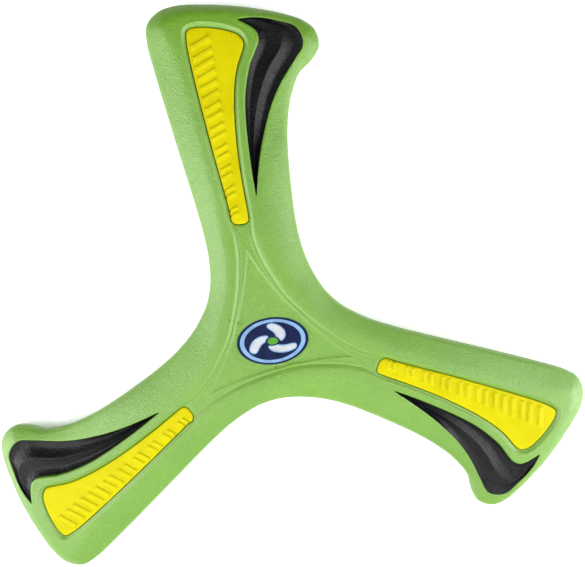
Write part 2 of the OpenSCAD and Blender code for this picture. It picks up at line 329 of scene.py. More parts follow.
# Height of the foam across the panel's edge, against the distance inside the panel's outline
EDGE_AT = [-1.3, -0.8, -0.45, -0.15, 0.15, 0.5, 0.85, 1.1]
EDGE_DROP = [0.0, -0.06, -0.12, 0.06, 0.42, 0.82, 1.0, 1.0]
# Round the hub the foam rolls down to the panel's edge more slowly
HUB_EDGE_AT = [-2.2, -1.4, -0.8, -0.4, -0.1, 0.3, 0.7, 1.1]
HUB_EDGE_DROP = [0.0, 0.06, 0.16, 0.28, 0.45, 0.78, 0.97, 1.0]
# The groove and bead that follow the panel's edge round the hub
BEAD_AT = [0.6, 0.85, 1.1, 1.35, 1.6, 1.85, 2.15, 2.5]
BEAD_DROP = [0.0, 0.08, 0.12, 0.01, -0.16, -0.15, -0.04, 0.0]
BEAD_END = (44.0, 53.0)
# A small bump in the foam at each plate's inner end
BUMPS = all_blades([(-12.2, 48.6)])
BUMP_RISE, BUMP_SIZE = 0.45, 1.3
# The step down to the curved triangle
STEP_AT = [-1.2, -0.8, -0.4, -0.05, 0.3, 0.7, 1.2, 2.0]
STEP_DROP = [0.0, -0.04, -0.13, -0.03, 0.16, 0.30, 0.37, 0.4]


def smooth_table(x, at, values):
    """A smooth line through a few heights."""
    at, values = np.array(at), np.array(values)
    slope = np.gradient(values, at)
    x = np.clip(x, at[0], at[-1])
    i = np.clip(np.searchsorted(at, x) - 1, 0, len(at) - 2)
    h = at[i + 1] - at[i]
    t = (x - at[i]) / h
    a, b = values[i], values[i + 1]
    ma, mb = slope[i] * h, slope[i + 1] * h
    return (2 * t ** 3 - 3 * t ** 2 + 1) * a + (t ** 3 - 2 * t ** 2 + t) * ma \
        + (3 * t ** 2 - 2 * t ** 3) * b + (t ** 3 - t ** 2) * mb


def foam_height(points):
    z = body_height(points)
    in_panel = PANEL.depth(points)
    near_hub = 1 - smooth_step(np.linalg.norm(points[:, :2], axis=1), *BEAD_END)
    edge = smooth_table(in_panel, EDGE_AT, EDGE_DROP)
    hub_edge = smooth_table(in_panel, HUB_EDGE_AT, HUB_EDGE_DROP)
    z -= (edge + (hub_edge - edge) * near_hub) * PANEL_DEPTH
    z -= smooth_table(in_panel, BEAD_AT, BEAD_DROP) * near_hub
    to_bump = np.linalg.norm(points[:, :2, None] - BUMPS.T, axis=1).min(1)
    z += BUMP_RISE * np.exp(-(to_bump / BUMP_SIZE) ** 2)
    z -= smooth_table(TRIANGLE.depth(points), STEP_AT, STEP_DROP) * TRIANGLE_DEPTH / STEP_DROP[-1]
    return z


# ---------------------------------------------------------------- mesh of the foam body
# The body is meshed a third at a time, cut along the middle of the gap between two blades
GAP_ANGLE = math.atan2(BLADE_OUTLINE[0][1], BLADE_OUTLINE[0][0])
# Loops of points up a slope, as shares of its width
SLOPE_LEVELS = [
    0.012, 0.035, 0.07, 0.12, 0.18, 0.26, 0.35, 0.45, 0.55, 0.65, 0.75, 0.84, 0.92, 0.97, 1.02, 1.1]

# Loops round a pocket: distance outside its outline, and how far the foam has dropped there
PLATE_POCKET = [(0.85, 0.0), (0.6, 0.03), (0.42, 0.12), (0.3, 0.32), (0.22, None)]
SCOOP_POCKET = [(1.3, 0.0), (0.95, 0.03), (0.6, 0.14), (0.35, 0.38), (0.18, 0.8), (0.1, None)]


def scoop_lip(points):
    """1 beside a scoop's inner edge, where the foam forms a lip, and 0 beside its outer edge and points."""
    a, b, _ = from_scoop(points)
    return smooth_step(b - a, 0.2, 2.5)


class Points:
    """Points for a mesh. Scattered ones are left out where they come too close to those already there."""

    def __init__(self):
        self.xy, self.z, self.edges = np.zeros((0, 2)), np.zeros(0), []

    def loop(self, xy, z, closed=True):
        first = len(self.xy)
        n = len(xy)
        self.xy, self.z = np.vstack([self.xy, xy]), np.r_[self.z, z]
        self.edges += [(first + i, first + (i + 1) % n) for i in range(n if closed else n - 1)]

    def scatter(self, xy, room):
        cells = {}

        def cell(p):
            return int(math.floor(p[0] / room)), int(math.floor(p[1] / room))

        for p in self.xy:
            cells.setdefault(cell(p), []).append(p)
        added = []
        for p in xy:
            cx, cy = cell(p)
            near = (q for i in (-1, 0, 1) for j in (-1, 0, 1) for q in cells.get((cx + i, cy + j), ()))
            if all((q[0] - p[0]) ** 2 + (q[1] - p[1]) ** 2 >= room * room for q in near):
                cells.setdefault((cx, cy), []).append(p)
                added.append(p)
        if added:
            self.xy = np.vstack([self.xy, np.array(added)])
            self.z = np.r_[self.z, np.full(len(added), np.nan)]

    def triangles(self, boundary):
        """(xy, z, triangles) inside the boundary. A point added where edges cross has no z yet."""
        made = delaunay_2d_cdt([Vector(p) for p in self.xy], self.edges, [], 0, 1e-7)
        xy = np.array([tuple(v) for v in made[0]])
        z = np.array([self.z[o[0]] if o else np.nan for o in made[3]])
        faces = np.array(made[2])
        keep = is_inside(xy[faces].mean(1), boundary)
        faces = faces[keep]
        a, b, c = (xy[faces[:, k]] for k in range(3))
        turn = (b[:, 0] - a[:, 0]) * (c[:, 1] - a[:, 1]) - (b[:, 1] - a[:, 1]) * (c[:, 0] - a[:, 0])
        faces[turn < 0] = faces[turn < 0][:, ::-1]
        return xy, z, faces[np.abs(turn) > 1e-9]


def hex_grid(low, high, pitch):
    rows = np.arange(low[1], high[1], pitch * math.sqrt(3) / 2)
    return np.array([(x + (pitch / 2 if i % 2 else 0), y) for i, y in enumerate(rows)
                     for x in np.arange(low[0], high[0], pitch)])


def sector_boundary():
    """The edge of one third of the body, from the hub axis along one gap, round the blade and back."""
    radii = np.unique(np.r_[np.arange(0, 14.5, 1.3), np.arange(14.5, 23.2, 0.4), np.arange(24.0, 31.0, 0.9),
                            31.2, 31.6, 31.9].round(3))
    right = np.column_stack([radii * math.cos(GAP_ANGLE), radii * math.sin(GAP_ANGLE)])
    left = turned(right[1:], BLADE_ANGLE)[::-1]
    blade = closed_curve(all_blades(BLADE_OUTLINE), STEPS)[:len(BLADE_OUTLINE) * STEPS + 1, :2]
    rim = even_spacing(blade, 0.9, closed=False)
    return right, rim, left


def body_top():
    right, rim, left = sector_boundary()
    boundary = np.vstack([right, rim, left])
    z = np.r_[np.full(len(right), np.nan), np.full(len(rim), EDGE_Z), np.full(len(left), np.nan)]
    points = Points()
    points.loop(boundary, z)
    for line, pocket, floor in ((PLATE, PLATE_POCKET, PLATE_FLOOR), (SCOOP, SCOOP_POCKET, SCOOP_FLOOR)):
        for distance, drop in pocket:
            loop = line.offset(-distance, 0.7)
            if drop is None:
                points.loop(loop, np.full(len(loop), floor))
                continue
            height = foam_height(loop)
            lip = scoop_lip(loop) if line is SCOOP else 1.0
            points.loop(loop, height - drop * (0.35 + 0.65 * lip))
    outer = Line(boundary, 0.5)

    def clear(xy, room=0.45):
        """Points inside the sector and outside its pockets, with room to spare."""
        xy = xy[outer.depth(xy) > room]
        xy = xy[PLATE.depth(xy) < -PLATE_POCKET[0][0] - 0.3]
        return xy[SCOOP.depth(xy) < -SCOOP_POCKET[0][0] - 0.3]

    for inset in HUB_EDGE_AT[:3] + EDGE_AT + BEAD_AT[2:]:
        points.scatter(clear(PANEL.offset(inset, 0.7)), 0.2)
    for inset in STEP_AT:
        points.scatter(clear(TRIANGLE.offset(inset, 0.7)), 0.2)
    for level in SLOPE_LEVELS:
        room = 0.12 if level < 0.1 else 0.3
        points.scatter(clear(OUTLINE.offset(lambda p: p[:, 2] * level, 0.9), room * 0.6), room)
    fill = hex_grid(boundary.min(0), boundary.max(0), 1.5)
    points.scatter(clear(fill, 0.6), 0.95)
    for line in (PLATE, SCOOP):
        points.scatter(fill[line.depth(fill) > 0.5][::9], 0.95)
    xy, z, faces = points.triangles(boundary)
    free = np.isnan(z)
    z[free] = foam_height(xy[free])
    for line, floor in ((PLATE, PLATE_FLOOR), (SCOOP, SCOOP_FLOOR)):
        z[free & is_inside(xy, line.points)] = floor
    rim_ids = np.arange(len(right), len(right) + len(rim))
    return xy, z, faces, rim_ids


# The side below the widest line: a thin parting line, then a quarter ellipse down to the flat underside
PARTING = [(-0.10, -0.06), (-0.10, -0.26), (0.02, -0.36)]
FOOT_ANGLES = np.radians([8, 16, 25, 34, 44, 54, 64, 74, 82, 90])


def body_sector():
    """One third of the body as (vertices, triangles)."""
    xy, z, faces, rim = body_top()
    verts = np.column_stack([xy, z])
    rim_xy = xy[rim]
    _, numbers = OUTLINE.nearest(rim_xy)
    prev, following = np.roll(rim_xy, 1, 0), np.roll(rim_xy, -1, 0)
    prev[0], following[-1] = turned(rim_xy[-2:-1], -BLADE_ANGLE)[0], turned(rim_xy[1:2], BLADE_ANGLE)[0]
    ahead = following - prev
    inward = np.column_stack([-ahead[:, 1], ahead[:, 0]]) / np.linalg.norm(ahead, axis=1)[:, None]
    rings = [(inset, EDGE_Z + dz) for inset, dz in PARTING]
    low = EDGE_Z + PARTING[-1][1]
    rings += [(FOOT_INSET * (1 - math.cos(a)), low * (1 - math.sin(a))) for a in FOOT_ANGLES]
    n, last = len(rim), rim
    tris = [faces]
    for inset, height in rings:
        first = len(verts)
        verts = np.vstack([verts, np.column_stack([rim_xy + inward * inset, np.full(n, height)])])
        this = np.arange(first, first + n)
        tris.append(np.column_stack([last[:-1], this[:-1], this[1:]]))
        tris.append(np.column_stack([last[:-1], this[1:], last[1:]]))
        last = this
    foot = verts[last][:, :2]
    gap_end = np.linalg.norm(foot[0])
    radii = np.arange(0, gap_end - 0.7, 2.0)
    right = np.column_stack([radii * math.cos(GAP_ANGLE), radii * math.sin(GAP_ANGLE)])
    left = turned(right[1:], BLADE_ANGLE)[::-1]
    boundary = np.vstack([right, foot, left])
    points = Points()
    points.loop(boundary, np.zeros(len(boundary)))
    fill = hex_grid(boundary.min(0), boundary.max(0), 3.0)
    points.scatter(fill[Line(boundary, 0.5).depth(fill) > 1.2], 1.5)
    low_xy, _, low_faces = points.triangles(boundary)
    first = len(verts)
    verts = np.vstack([verts, np.column_stack([low_xy, np.zeros(len(low_xy))])])
    tris.append(low_faces[:, ::-1] + first)
    return verts, np.vstack(tris)


def waviness(verts, amount, size):
    """A slow unevenness of moulded foam, in millimetres, at each vertex."""
    return np.array([noise.noise(Vector((x, y, z)) / size) for x, y, z in verts]) * amount


def welded(verts, faces, room=1e-4):
    """Vertices that lie in one place become one, and faces that close up go."""
    keys = np.round(verts / room).astype(np.int64)
    _, first, index = np.unique(keys, axis=0, return_index=True, return_inverse=True)
    index = index.ravel()
    faces = index[faces]
    open_face = (faces[:, 0] != faces[:, 1]) & (faces[:, 1] != faces[:, 2]) & (faces[:, 0] != faces[:, 2])
    return verts[first], faces[open_face]


def mesh_object(name, verts, faces, materials, index=None, smooth_angle=40):
    """A Blender object from millimetre vertices, smooth except across sharp edges."""
    mesh = bpy.data.meshes.new(name)
    mesh.from_pydata((np.asarray(verts) * MM).tolist(), [], np.asarray(faces).tolist())
    for m in materials:
        mesh.materials.append(m)
    if index is not None:
        mesh.polygons.foreach_set("material_index", np.asarray(index, np.int32))
    mesh.polygons.foreach_set("use_smooth", np.ones(len(mesh.polygons), bool))
    mesh.set_sharp_from_angle(angle=math.radians(smooth_angle))
    mesh.validate()
    mesh.update()
    obj = bpy.data.objects.new(name, mesh)
    bpy.context.scene.collection.objects.link(obj)
    return obj


def add_numbers(obj, name, values):
    """Numbers on each vertex that a material can read."""
    layer = obj.data.attributes.new(name, "FLOAT", "POINT")
    layer.data.foreach_set("value", np.asarray(values, np.float32))


# ---------------------------------------------------------------- materials
class Shader:
    """A principled material whose inputs are worked out by nodes."""

    def __init__(self, name, roughness, specular=0.5):
        self.material = bpy.data.materials.new(name)
        self.material.use_nodes = True
        self.tree = self.material.node_tree
        self.bsdf = self.tree.nodes["Principled BSDF"]
        self.bsdf.inputs["Roughness"].default_value = roughness
        self.bsdf.inputs["Specular IOR Level"].default_value = specular
        self.place = self.node("ShaderNodeTexCoord").outputs["Object"]

    def node(self, kind, **settings):
        made = self.tree.nodes.new(kind)
        for key, value in settings.items():
            setattr(made, key, value)
        return made

    def link(self, source, target):
        self.tree.links.new(source, target)

    def noise(self, size_mm, detail=2.0, roughness=0.5):
        made = self.node("ShaderNodeTexNoise")
        made.inputs["Scale"].default_value = 1 / (size_mm * MM)
        made.inputs["Detail"].default_value = detail
        made.inputs["Roughness"].default_value = roughness
        self.link(self.place, made.inputs["Vector"])
        return made.outputs["Fac"]

    def cells(self, size_mm, feature="F1", output="Distance"):
        made = self.node("ShaderNodeTexVoronoi", feature=feature)
        made.inputs["Scale"].default_value = 1 / (size_mm * MM)
        self.link(self.place, made.inputs["Vector"])
        return made.outputs[output]

    def attribute(self, name):
        return self.node("ShaderNodeAttribute", attribute_name=name).outputs["Fac"]

    def ranged(self, value, low, high, to_low, to_high):
        """value, with low to high turned into to_low to to_high."""
        made = self.node("ShaderNodeMapRange", interpolation_type="SMOOTHSTEP")
        for key, number in (("From Min", low), ("From Max", high), ("To Min", to_low), ("To Max", to_high)):
            made.inputs[key].default_value = number
        self.link(value, made.inputs["Value"])
        return made.outputs["Result"]

    def maths(self, operation, a, b):
        made = self.node("ShaderNodeMath", operation=operation)
        for k, value in enumerate((a, b)):
            if isinstance(value, (int, float)):
                made.inputs[k].default_value = value
            else:
                self.link(value, made.inputs[k])
        return made.outputs[0]

    def mixed(self, share, a, b):
        """A colour between a and b, each a colour or a node's output."""
        made = self.node("ShaderNodeMix", data_type="RGBA")
        self.link(share, made.inputs[0])
        for slot, value in ((made.inputs[6], a), (made.inputs[7], b)):
            if isinstance(value, tuple):
                slot.default_value = (*value, 1)
            else:
                self.link(value, slot)
        return made.outputs[2]

    def bump(self, height, depth_mm, under=None):
        made = self.node("ShaderNodeBump")
        made.inputs["Distance"].default_value = depth_mm * MM
        self.link(height, made.inputs["Height"])
        if under is not None:
            self.link(under, made.inputs["Normal"])
        return made.outputs["Normal"]

    def finish(self, colour, roughness=None, normal=None):
        self.link(colour, self.bsdf.inputs["Base Color"])
        if roughness is not None:
            self.link(roughness, self.bsdf.inputs["Roughness"])
        if normal is not None:
            self.link(normal, self.bsdf.inputs["Normal"])
        return self.material


def foam_material():
    s = Shader("green_foam", 0.5, 1.0)
    colour = s.mixed(s.ranged(s.noise(22, 3), 0.3, 0.7, 0, 1), (0.112, 0.272, 0.001), (0.132, 0.305, 0.003))
    colour = s.mixed(s.ranged(s.noise(0.85, 3, 0.7), 0.35, 0.7, 0, 0.62), colour, (0.068, 0.198, 0.001))
    # Small dents in the foam's skin with painted shade in them: the near-black colour stands in for the
    # shade in each pit.
    painted_shade_pits = s.maths("MULTIPLY", s.ranged(s.cells(9), 0.020, 0.045, 1, 0),
                   s.ranged(s.noise(30, 0), 0.52, 0.56, 0, 1))
    colour = s.mixed(painted_shade_pits, colour, (0.02, 0.05, 0.005))
    specks = s.ranged(s.cells(5.3), 0.02, 0.06, 0.35, 0)
    colour = s.mixed(specks, colour, (0.30, 0.44, 0.14))
    # Painted highlight: a lighter green where the rim attribute is set, along the panel's edge, the bead
    # round the hub and the triangle's step.
    colour = s.mixed(s.ranged(s.attribute("rim"), 0, 1, 0, 0.35), colour, (0.28, 0.44, 0.10))
    rough = s.ranged(s.noise(1.1, 3, 0.6), 0.3, 0.7, 0.42, 0.56)
    skin = s.bump(s.noise(0.8, 3, 0.7), 0.26)
    skin = s.bump(s.noise(3.2, 2, 0.5), 0.16, skin)
    skin = s.bump(s.maths("MULTIPLY", painted_shade_pits, -1.0), 0.15, skin)
    return s.finish(colour, rough, skin)


def plate_material():
    s = Shader("yellow_plate", 0.42, 0.06)
    colour = s.mixed(s.ranged(s.noise(14, 3), 0.3, 0.7, 0, 1), (0.475, 0.425, 0.001), (0.530, 0.475, 0.002))
    colour = s.mixed(s.ranged(s.noise(0.6, 2, 0.6), 0.4, 0.75, 0, 0.25), colour, (0.37, 0.32, 0.001))
    # Painted highlight: a lighter yellow round the plate's rounded upper edge and on the tops of its bars,
    # where the rim attribute is set.
    colour = s.mixed(s.ranged(s.attribute("rim"), 0, 1, 0, 0.35), colour, (0.56, 0.52, 0.01))
    rough = s.ranged(s.noise(0.9, 2), 0.3, 0.7, 0.36, 0.50)
    skin = s.bump(s.noise(0.6, 2, 0.5), 0.025)
    skin = s.bump(s.noise(5, 2), 0.10, skin)
    return s.finish(colour, rough, skin)


def scoop_material():
    s = Shader("black_scoop", 0.38, 0.20)
    grain = s.cells(0.75, "SMOOTH_F1")
    slow = s.ranged(s.noise(8, 3), 0.3, 0.7, 0, 1)
    colour = s.mixed(slow, (0.0040, 0.0042, 0.0046), (0.006, 0.0065, 0.0072))
    colour = s.mixed(s.ranged(s.noise(0.5, 2, 0.6), 0.55, 0.75, 0, 0.4), colour, (0.018, 0.019, 0.021))
    rough = s.ranged(s.noise(0.7, 3, 0.6), 0.3, 0.7, 0.28, 0.42)
    skin = s.bump(grain, 0.20)
    skin = s.bump(s.noise(0.35, 2, 0.6), 0.09, skin)
    return s.finish(colour, rough, skin)


def print_material(name, dark, light):
    """One colour of the printed emblem, with the foam's grain showing through the film."""
    s = Shader(name, 0.35, 0.2)
    colour = s.mixed(s.ranged(s.noise(4, 3), 0.35, 0.65, 0, 1), dark, light)
    rough = s.ranged(s.noise(0.8, 2), 0.3, 0.7, 0.30, 0.44)
    return s.finish(colour, rough, s.bump(s.noise(0.5, 2, 0.6), 0.03))


# Glow of the floor, as on a lit studio table: near the boomerang, where it keeps the shadows pale, and far
# from it, where the softboxes don't reach. The two distances are in metres.
NEAR_GLOW, FAR_GLOW = 0.3, 0.9
GLOW_FROM, GLOW_TO = 0.3, 0.9


def floor_material():
    s = Shader("studio_floor", 0.7, 0.2)
    distance = s.node("ShaderNodeVectorMath", operation="LENGTH")
    s.link(s.place, distance.inputs[0])
    glow = s.ranged(distance.outputs["Value"], GLOW_FROM, GLOW_TO, NEAR_GLOW, FAR_GLOW)
    s.bsdf.inputs["Emission Color"].default_value = (1, 1, 1, 1)
    s.link(glow, s.bsdf.inputs["Emission Strength"])
    colour = s.mixed(s.ranged(s.noise(300, 2), 0.3, 0.7, 0, 1), (0.95, 0.95, 0.95), (0.97, 0.97, 0.97))
    return s.finish(colour)


def backdrop_material():
    s = Shader("studio_backdrop", 0.9, 0.0)
    s.bsdf.inputs["Base Color"].default_value = (0, 0, 0, 1)
    s.bsdf.inputs["Emission Color"].default_value = (1, 1, 1, 1)
    s.bsdf.inputs["Emission Strength"].default_value = FAR_GLOW
    return s.material


# ---------------------------------------------------------------- pieces
def make_body():
    verts, faces = body_sector()
    count = len(verts)
    verts, faces = welded(all_blades(verts), np.vstack([faces + b * count for b in range(BLADES)]))
    raised = smooth_step(verts[:, 2], 0.5, 6.0)
    wave = waviness(verts, 0.10, 26) + waviness(verts, 0.04, 7)
    in_panel = PANEL.depth(verts[:, :2])
    in_triangle = TRIANGLE.depth(verts[:, :2])
    above = verts[:, 2] > BODY_T - PANEL_DEPTH - 2
    near_hub = 1 - smooth_step(np.linalg.norm(verts[:, :2], axis=1), *BEAD_END)
    # The rim numbers mark where a highlight is painted on the foam's top: along the panel's edge, along the
    # bead round the hub and along the step down to the triangle.
    rim = np.exp(-((in_panel - 0.1) / 0.5) ** 2) + 0.6 * near_hub * np.exp(-((in_panel - 1.6) / 0.4) ** 2)
    rim += 0.5 * np.exp(-((in_triangle - 0.1) / 0.35) ** 2)
    verts[:, 2] += wave * raised
    body = mesh_object("foam_body_moulding", verts, faces, [foam_material()], smooth_angle=50)
    add_numbers(body, "rim", rim * above)
    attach(body, "root")
    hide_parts("foam_body")


def rounded_polygon(corners, radius, steps=4):
    """A polygon with each corner turned into an arc."""
    out = []
    n = len(corners)
    for i in range(n):
        p, a, b = corners[i], corners[i - 1] - corners[i], corners[(i + 1) % n] - corners[i]
        a, b = a / np.linalg.norm(a), b / np.linalg.norm(b)
        half = math.acos(np.clip(np.dot(a, b), -1, 1)) / 2
        centre = p + (a + b) / np.linalg.norm(a + b) * radius / math.sin(half)
        start, end = p + a * radius / math.tan(half) - centre, p + b * radius / math.tan(half) - centre
        for k in range(steps + 1):
            v = start * (1 - k / steps) + end * k / steps
            out.append(centre + v / np.linalg.norm(v) * radius)
    return np.array(out)


def bar_corners():
    """The corners of each raised bar on a plate, in pairs that grow towards the blade's tip."""
    row = BAR_ROW[1] - BAR_ROW[0]
    along = row / np.linalg.norm(row)
    across = np.array([along[1], -along[0]])
    for i in range(BAR_PAIRS):
        s = i / (BAR_PAIRS - 1)
        length, width, spread = (a + (b - a) * s for a, b in (BAR_LENGTH, BAR_WIDTH, BAR_SPREAD))
        for side in (-1, 1):
            middle = BAR_ROW[0] + row * s + along * side * spread
            reach, lean, half = across * length / 2, along * BAR_SLANT * length / 2, along * width / 2
            yield np.array([middle - reach - lean - half, middle - reach - lean + half,
                            middle + reach + lean + half, middle + reach + lean - half])


# Rounded upper edge of a plate: distance inside its outline, and drop from its top
PLATE_EDGE = [(0.0, 0.75), (0.08, 0.45), (0.22, 0.22), (0.42, 0.08), (0.7, 0.0)]
# Sides of a raised bar: growth of its outline, and share of its height
BAR_SIDE = [(0.30, 0.0), (0.16, 0.25), (0.0, 0.8), (-0.14, 1.0)]


def grown(corners, amount):
    """A four-cornered outline grown outwards by an amount, before its corners are rounded."""
    out = []
    for i in range(4):
        a, b = corners[i - 1] - corners[i], corners[(i + 1) % 4] - corners[i]
        a, b = a / np.linalg.norm(a), b / np.linalg.norm(b)
        half = math.acos(np.clip(np.dot(a, b), -1, 1)) / 2
        out.append(corners[i] - (a + b) / np.linalg.norm(a + b) * amount / math.sin(half))
    return np.array(out)


def make_plates():
    points = Points()
    for inset, drop in PLATE_EDGE:
        loop = PLATE.offset(inset, 0.7) if inset else even_spacing(PLATE.points, 0.7)
        points.loop(loop, np.full(len(loop), PLATE_TOP - drop))
    for corners in bar_corners():
        for growth, share in BAR_SIDE:
            loop = rounded_polygon(grown(corners, growth), 0.32 + max(growth, 0))
            points.loop(loop, np.full(len(loop), PLATE_TOP + BAR_H * share))
    edge = even_spacing(PLATE.points, 0.7)
    fill = hex_grid(edge.min(0), edge.max(0), 1.6)
    points.scatter(fill[PLATE.depth(fill) > 1.1], 0.7)
    xy, z, faces = points.triangles(edge)
    inside_bar = np.zeros(len(xy), bool)
    for corners in bar_corners():
        inside_bar |= is_inside(xy, rounded_polygon(corners, 0.3))
    free = np.isnan(z)
    z[free] = np.where(inside_bar[free], PLATE_TOP + BAR_H, PLATE_TOP)
    top = np.column_stack([xy, z])
    n = len(edge)
    first = len(top)
    verts = np.vstack([top, np.column_stack([edge, np.full(n, PLATE_FLOOR + 0.05)])])
    a, b = np.arange(n), np.roll(np.arange(n), -1)
    side = np.vstack([np.column_stack([a, a + first, b + first]), np.column_stack([a, b + first, b])])
    under = Points()
    under.loop(edge, np.zeros(n))
    low_xy, _, low = under.triangles(edge)
    assert len(low_xy) == n
    faces = np.vstack([faces, side, low[:, ::-1] + first])
    depth = PLATE.depth(verts[:, :2])
    # The rim numbers mark where a highlight is painted on a plate: along its rounded upper edge and on the
    # tops of its bars.
    rim = np.exp(-((depth - 0.3) / 0.35) ** 2) * (verts[:, 2] > PLATE_TOP - 0.5)
    rim += 0.8 * smooth_step(verts[:, 2], PLATE_TOP + 0.2, PLATE_TOP + BAR_H)
    material = plate_material()
    for b in range(BLADES):
        place = np.column_stack([turned(verts[:, :2], b * BLADE_ANGLE), verts[:, 2]])
        place[:, 2] += waviness(place, 0.05, 14) * smooth_step(place[:, 2], PLATE_FLOOR + 1, PLATE_TOP - 0.5)
        plate = mesh_object(f"inlay_plate_{b + 1}_moulding", place, faces, [material], smooth_angle=55)
        add_numbers(plate, "rim", rim)
        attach(plate, "root")
        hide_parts(f"inlay_plate_{b + 1}")


# A scoop's depths below the foam's top: its lip at the inner edge, two flutes and the crest between them
LIP, INNER_FLUTE, CREST_DROP, OUTER_FLUTE = 1.4, 3.2, 1.8, 4.0
# Each flute: where it is deepest, as a share of its width, and how sharply it falls and rises from there
INNER_FORM, OUTER_FORM = (0.38, 1.7, 1.3), (0.60, 1.4, 1.3)
FLUTE_STEPS = 16
# Half the width of the crest's rounded top, and how far the rounding lowers it
CREST_ROUND, CREST_ROUND_DROP = 0.32, 0.10


def flute(start, low, end, form, a):
    """Height across a flute at a share a of its width."""
    valley, fall, rise = form
    falling = low + (start - low) * np.maximum(1 - a / valley, 0) ** fall
    rising = low + (end - low) * np.maximum((a - valley) / (1 - valley), 0) ** rise
    return np.where(a < valley, falling, rising)


def scoop_rows():
    """Points of a scoop's surface, in rows across it from its inner to its outer edge."""
    inner, crest, outer = INNER_EDGE[1:-1], CREST[1:-1], OUTER_EDGE[1:-1]
    steps = np.linalg.norm(np.diff((INNER_EDGE + OUTER_EDGE) / 2, axis=0), axis=1)
    s = (np.cumsum(steps) / steps.sum())[:-1]
    full = np.sin(math.pi * s) ** 0.55
    inner_z, outer_z = body_height(inner), body_height(outer) - 0.10
    share = np.linalg.norm(crest - inner, axis=1) / np.linalg.norm(outer - inner, axis=1)

    def sunk(z, drop):
        return z + (BODY_T - drop - z) * full

    start = sunk(inner_z - 0.25, LIP)
    crest_z = sunk(inner_z + (outer_z - inner_z) * share - 0.1, CREST_DROP)
    inner_low = np.minimum(sunk(inner_z - 0.3, INNER_FLUTE), crest_z - 0.1 * full)
    outer_low = np.minimum(sunk((crest_z + outer_z) / 2, OUTER_FLUTE), outer_z - 0.2 * full)
    inner_round = np.minimum(CREST_ROUND / np.linalg.norm(crest - inner, axis=1), 0.2)
    outer_round = np.minimum(CREST_ROUND / np.linalg.norm(outer - crest, axis=1), 0.2)
    columns = []
    for k in range(FLUTE_STEPS + 1):
        a = (1 - inner_round) * k / FLUTE_STEPS
        z = flute(start, inner_low, crest_z, INNER_FORM, a)
        columns.append(np.column_stack([inner + (crest - inner) * a[:, None], z]))
    columns.append(np.column_stack([crest, crest_z - CREST_ROUND_DROP * full]))
    for k in range(FLUTE_STEPS + 1):
        a = outer_round + (1 - outer_round) * k / FLUTE_STEPS
        z = flute(crest_z, outer_low, outer_z, OUTER_FORM, a)
        columns.append(np.column_stack([crest + (outer - crest) * a[:, None], z]))
    columns.append(np.column_stack([outer, np.full(len(s), SCOOP_FLOOR + 0.1)]))
    columns.append(np.column_stack([inner, np.full(len(s), SCOOP_FLOOR + 0.1)]))
    return np.stack(columns, 1)


def make_scoops():
    rows = scoop_rows()
    n, m = rows.shape[:2]
    tips = []
    for tip in (SCOOP_UPPER_TIP, SCOOP_LOWER_TIP):
        top = float(body_height(np.array([tip]))[0]) - 0.2
        tips += [(*tip, top), (*tip, SCOOP_FLOOR + 0.1)]
    verts = np.vstack([rows.reshape(-1, 3), tips])
    faces = []
    for i in range(n - 1):
        for j in range(m):
            p, q, h = i * m + j, (i + 1) * m + j, (j + 1) % m
            faces += [(p, q, (i + 1) * m + h), (p, (i + 1) * m + h, i * m + h)]
    for row, top, flip in ((0, n * m, False), (n - 1, n * m + 2, True)):
        base = row * m
        fan = [(top, base + j, base + j + 1) for j in range(m - 3)]
        fan += [(top, base + m - 3, base + m - 2), (top, base + m - 2, top + 1),
                (top + 1, base + m - 2, base + m - 1), (top + 1, base + m - 1, base), (top, top + 1, base)]
        faces += [f[::-1] if flip else f for f in fan]
    faces = np.array(faces)
    material = scoop_material()
    for b in range(BLADES):
        place = np.column_stack([turned(verts[:, :2], b * BLADE_ANGLE), verts[:, 2]])
        scoop = mesh_object(f"scoop_insert_{b + 1}_moulding", place, faces, [material], smooth_angle=38)
        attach(scoop, "root")
        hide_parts(f"scoop_insert_{b + 1}")


def oval(share, steps=96):
    """A loop at a share of the emblem's size, before it is tilted."""
    a = np.arange(steps) * 2 * math.pi / steps
    return np.column_stack([np.cos(a), np.sin(a)]) * EMBLEM_SIZE * share


def swirl_arm(turn, grow=0.0):
    """A curved arm of the emblem's swirl, from near its centre to a point near its border."""
    s = np.linspace(0, 1, 24)
    r = 0.24 + 0.48 * s
    lead = turn + 1.5 * s
    width = 1.35 * (1 - s) ** 0.6 * (0.75 + 0.25 * s)
    a = np.column_stack([r * np.cos(lead), r * np.sin(lead)])
    b = np.column_stack([r * np.cos(lead + width), r * np.sin(lead + width)])
    loop = np.vstack([a, b[-2::-1]]) * EMBLEM_SIZE
    if area_of(loop) < 0:
        loop = loop[::-1]
    ahead = np.roll(loop, -1, 0) - np.roll(loop, 1, 0)
    outward = np.column_stack([ahead[:, 1], -ahead[:, 0]]) / np.linalg.norm(ahead, axis=1)[:, None]
    return loop + outward * grow


# The emblem's loops, as shares of its size: the insides of its border and of the band in it, and its centre
BORDER, BAND, RING, DOT = 0.92, 0.80, 0.20, 0.15


def emblem_colours(middle, arms, shades):
    """Which material each face of the emblem takes."""
    r = np.linalg.norm(middle / EMBLEM_SIZE, axis=1)
    in_arm = np.any([is_inside(middle, arm) for arm in arms], axis=0)
    in_shade = np.any([is_inside(middle, shade) for shade in shades], axis=0)
    dark, pale, white, green = range(4)
    return np.select(
        [r < DOT, r < RING, in_arm, in_shade, r < BAND, r < BORDER],
        [green, dark, white, pale, dark, pale], dark)


